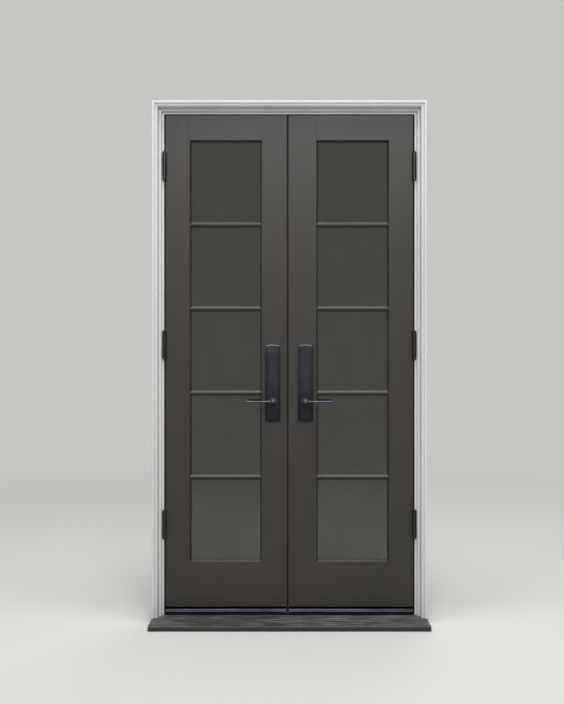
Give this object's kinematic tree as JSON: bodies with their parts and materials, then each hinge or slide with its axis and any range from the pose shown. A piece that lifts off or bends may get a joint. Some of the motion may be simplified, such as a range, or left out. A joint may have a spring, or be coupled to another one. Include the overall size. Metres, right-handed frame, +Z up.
{
  "type": "french doors with frame",
  "caption": "Pair of outward-opening glazed french doors hung in a rabbeted, moulded frame on a sill, with lever handles, hinges, bolt gear and lock.",
  "frame": {"origin": "underside of the sill, midway between the jambs, in the plane of the closed leaves' outer face", "axes": "+Z up; -Y to the outside, +Y into the room; +X to the right as seen from outside"},
  "size_m": [1.124, 0.273, 2.135],
  "materials": {
    "leaf_paint": "satin paint, dark warm grey",
    "frame_paint": "satin paint, pale warm grey",
    "sill_paint": "weathered dark paint",
    "glass": "clear float glass with a low-emission coat",
    "spacer": "mill aluminium",
    "bronze_extrusion": "dark bronze anodised",
    "dark_bronze": "dark oiled bronze over brass",
    "hinge_bronze": "dark bronze plated",
    "steel": "zinc plated",
    "seal": "matt black"
  },
  "bodies": {
    "frame": {"sill": "sill_paint", "threshold": "bronze_extrusion", "left_jamb": "frame_paint", "right_jamb": "frame_paint", "head_jamb": "frame_paint", "left_moulding": "frame_paint", "right_moulding": "frame_paint", "head_moulding": "frame_paint", "weatherstrips": "seal", "bolt_keepers": "steel", "left_frame_hinges": "hinge_bronze", "right_frame_hinges": "hinge_bronze"},
    "left_leaf": {"left_hinge_stile": "leaf_paint", "left_meeting_stile": "leaf_paint", "left_top_rail": "leaf_paint", "left_bottom_rail": "leaf_paint", "left_outer_pane": "glass", "left_inner_pane": "glass", "left_glass_spacer": "spacer", "left_glazing_stops": "leaf_paint", "left_outer_muntins": "leaf_paint", "left_inner_muntins": "leaf_paint", "left_door_hinges": "hinge_bronze", "left_hinge_pins": "hinge_bronze", "left_shoe": "bronze_extrusion", "left_sweep": "seal", "left_outer_plate": "dark_bronze", "left_inner_plate": "dark_bronze", "left_gear_case": "steel", "left_strike": "steel"},
    "left_levers": {"left_outer_lever": "dark_bronze", "left_inner_lever": "dark_bronze", "left_pinion": "steel"},
    "left_top_bolt": {"left_top_bolt": "steel"},
    "left_bottom_bolt": {"left_bottom_bolt": "steel"},
    "right_leaf": {"right_hinge_stile": "leaf_paint", "right_meeting_stile": "leaf_paint", "right_top_rail": "leaf_paint", "right_bottom_rail": "leaf_paint", "right_outer_pane": "glass", "right_inner_pane": "glass", "right_glass_spacer": "spacer", "right_glazing_stops": "leaf_paint", "right_outer_muntins": "leaf_paint", "right_inner_muntins": "leaf_paint", "right_door_hinges": "hinge_bronze", "right_hinge_pins": "hinge_bronze", "right_shoe": "bronze_extrusion", "right_sweep": "seal", "right_outer_plate": "dark_bronze", "right_inner_plate": "dark_bronze", "right_lock_case": "steel", "right_meeting_seal": "seal"},
    "right_levers": {"right_outer_lever": "dark_bronze", "right_inner_lever": "dark_bronze", "right_follower": "steel"},
    "right_latch_bolt": {"right_latch_bolt": "steel"},
    "right_deadbolt": {"right_deadbolt": "steel"},
    "right_thumbturn": {"right_thumbturn": "dark_bronze", "right_deadbolt_cam": "steel"}
  },
  "joints": [
    {"name": "left_leaf_swing", "type": "hinge", "parent": "frame", "child": "left_leaf", "pos_m": [-0.51575, -0.0086, 1], "axis": [0, 0, -1], "range_deg": [0, 100]},
    {"name": "right_leaf_swing", "type": "hinge", "parent": "frame", "child": "right_leaf", "pos_m": [0.51575, -0.0086, 1], "axis": [0, 0, 1], "range_deg": [0, 100]},
    {"name": "left_lever_turn", "type": "hinge", "parent": "left_leaf", "child": "left_levers", "pos_m": [-0.066, 0, 0.904], "axis": [0, 1, 0], "range_deg": [0, 45]},
    {"name": "left_top_bolt_slide", "type": "slide", "parent": "left_leaf", "child": "left_top_bolt", "axis": [0, 0, 1], "range_m": [0, 0.0157]},
    {"name": "left_bottom_bolt_slide", "type": "slide", "parent": "left_leaf", "child": "left_bottom_bolt", "axis": [0, 0, -1], "range_m": [0, 0.0157]},
    {"name": "right_lever_turn", "type": "hinge", "parent": "right_leaf", "child": "right_levers", "pos_m": [0.066, 0, 0.904], "axis": [0, 1, 0], "range_deg": [0, 45], "stiffness_Nm_per_rad": 1.2, "springref_deg": -34.38},
    {"name": "right_latch_slide", "type": "slide", "parent": "right_leaf", "child": "right_latch_bolt", "axis": [1, 0, 0], "range_m": [0, 0.011]},
    {"name": "right_thumbturn_turn", "type": "hinge", "parent": "right_leaf", "child": "right_thumbturn", "pos_m": [0.066, 0, 0.996], "axis": [0, -1, 0], "range_deg": [0, 90]},
    {"name": "right_deadbolt_slide", "type": "slide", "parent": "right_leaf", "child": "right_deadbolt", "axis": [-1, 0, 0], "range_m": [0, 0.0205]}
  ],
  "couplings": [
    {"joint": "left_top_bolt_slide", "follows": "left_lever_turn", "m_per_rad": 0.01998},
    {"joint": "left_bottom_bolt_slide", "follows": "left_lever_turn", "m_per_rad": 0.01998},
    {"joint": "right_latch_slide", "follows": "right_lever_turn", "m_per_rad": 0.014},
    {"joint": "right_thumbturn_turn", "follows": "right_deadbolt_slide", "rad_per_m": 76.6}
  ]
}
